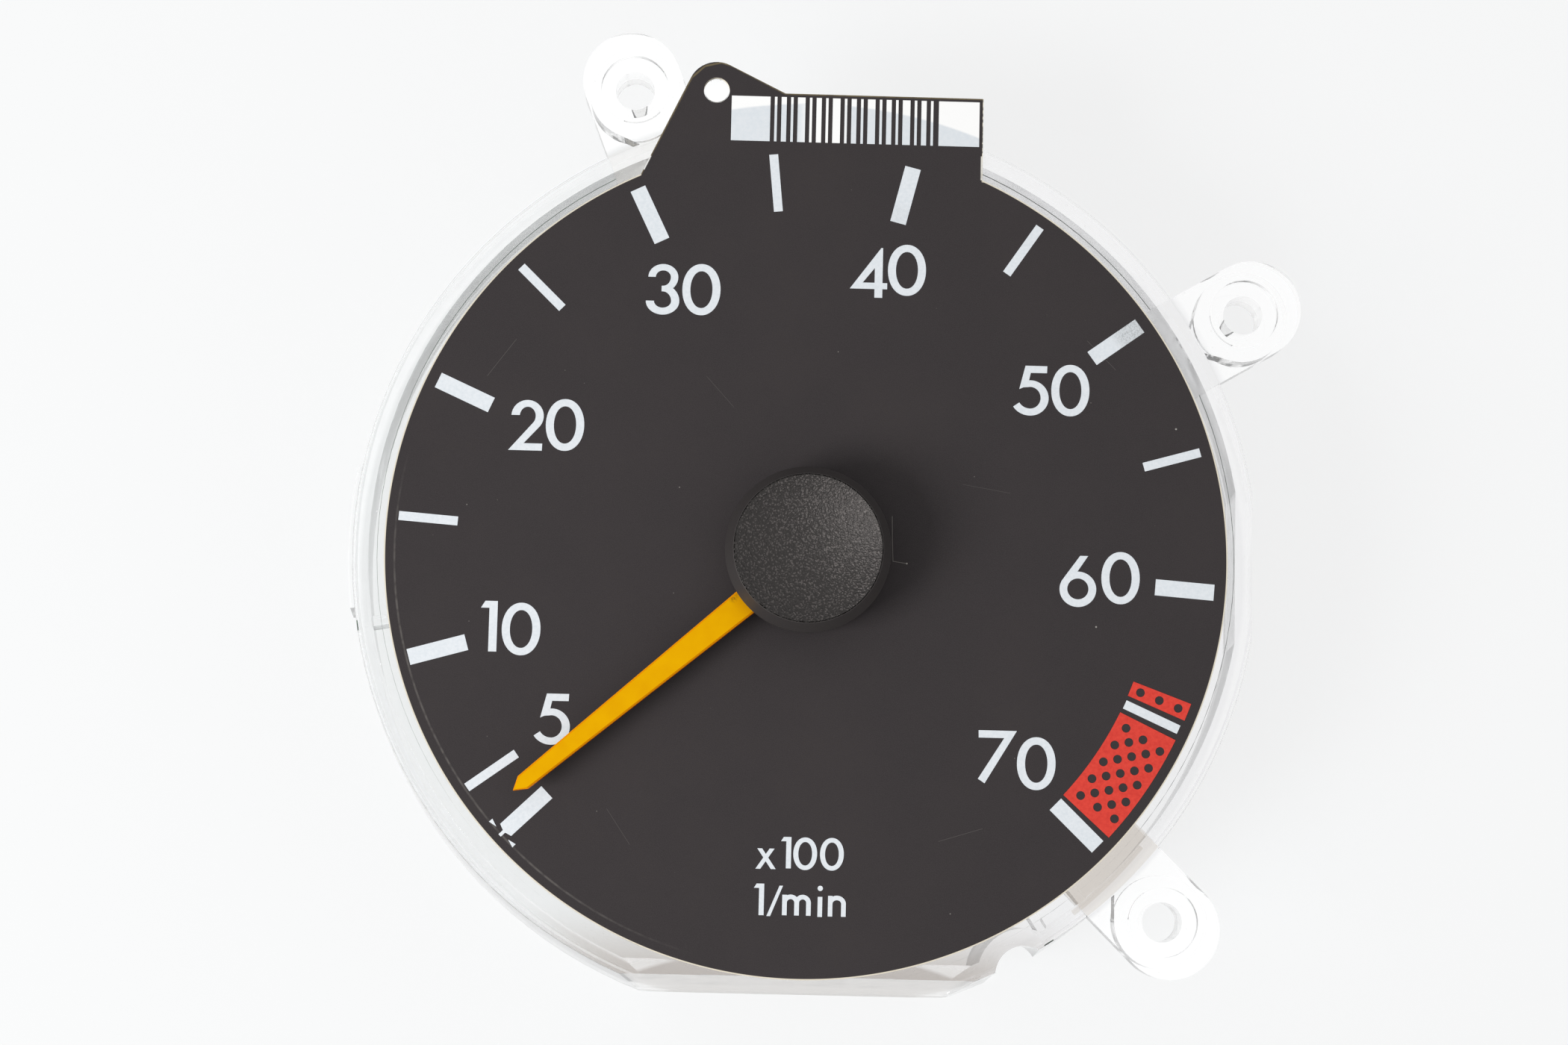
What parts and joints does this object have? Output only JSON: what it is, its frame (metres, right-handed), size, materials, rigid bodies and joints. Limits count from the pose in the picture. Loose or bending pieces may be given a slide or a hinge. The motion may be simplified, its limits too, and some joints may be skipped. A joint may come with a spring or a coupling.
{
  "type": "car tachometer",
  "caption": "Round car tachometer insert: printed dial with tapered pointer and dished cap on a clear moulded carrier with screw lugs, crossed-coil movement and driver board behind.",
  "frame": {"origin": "on the spindle axis, in the plane that the back rests on", "axes": "+Z along the spindle towards the viewer, +Y up on the dial, +X to the right on the dial"},
  "size_m": [0.1143, 0.1153, 0.0277],
  "materials": {
    "clear_plastic": "clear moulded plastic, polished",
    "dial_black": "matt black printed sheet",
    "print_white": "translucent white print",
    "print_red": "red print",
    "pointer_orange": "fluorescent orange-yellow moulding",
    "cap_black": "black plastic, fine grain on the face",
    "brass": "turned brass",
    "steel": "drawn steel, dull plated",
    "ferrite": "pressed ferrite",
    "white_plastic": "natural moulded plastic",
    "frame_black": "black moulded plastic",
    "copper": "enamelled copper winding",
    "tinned": "tinned brass wire",
    "screw_steel": "zinc plated steel",
    "board_green": "green lacquered board",
    "chip_black": "black moulding compound",
    "capacitor_blue": "dark blue shrink sleeve",
    "capacitor_ochre": "dipped ochre resin",
    "resistor_tan": "lacquered tan body",
    "resistor_green": "grey-green lacquer",
    "trimmer_blue": "blue moulded plastic"
  },
  "bodies": {
    "instrument": {"carrier": "clear_plastic", "dial_plate": "dial_black", "scale_marks": "print_white", "red_band": "print_red", "movement_frame": "frame_black", "upper_bearing": "brass", "lower_bearing": "brass", "upper_bobbin": "white_plastic", "lower_bobbin": "white_plastic", "inner_coil": "copper", "outer_coil": "copper", "screening_can": "steel", "terminal_pins": "tinned", "movement_screws": "screw_steel", "circuit_board": "board_green", "board_screws": "screw_steel", "driver_chip": "chip_black", "electrolytic_capacitors": "capacitor_blue", "film_capacitors": "capacitor_ochre", "resistors": "resistor_tan", "power_resistor": "resistor_green", "diodes": "chip_black", "trimmer_body": "trimmer_blue", "plug_base": "frame_black", "plug_contacts": "brass"},
    "pointer": {"pointer_blade": "pointer_orange", "pointer_cap": "cap_black", "pointer_bush": "brass", "balance_weight": "brass", "spindle": "steel", "rotor_magnet": "ferrite", "stop_arm": "white_plastic"},
    "trimmer": {"trimmer_rotor": "white_plastic"}
  },
  "joints": [
    {"name": "pointer_turn", "type": "hinge", "parent": "instrument", "child": "pointer", "pos_m": [0, 0, 0.0208], "axis": [0, 0, 1], "range_deg": [-268, 3.4]},
    {"name": "trimmer_turn", "type": "hinge", "parent": "instrument", "child": "trimmer", "pos_m": [0.0235, 0.034, 0.003], "axis": [0, 0, 1], "range_deg": [-130, 130]}
  ]
}
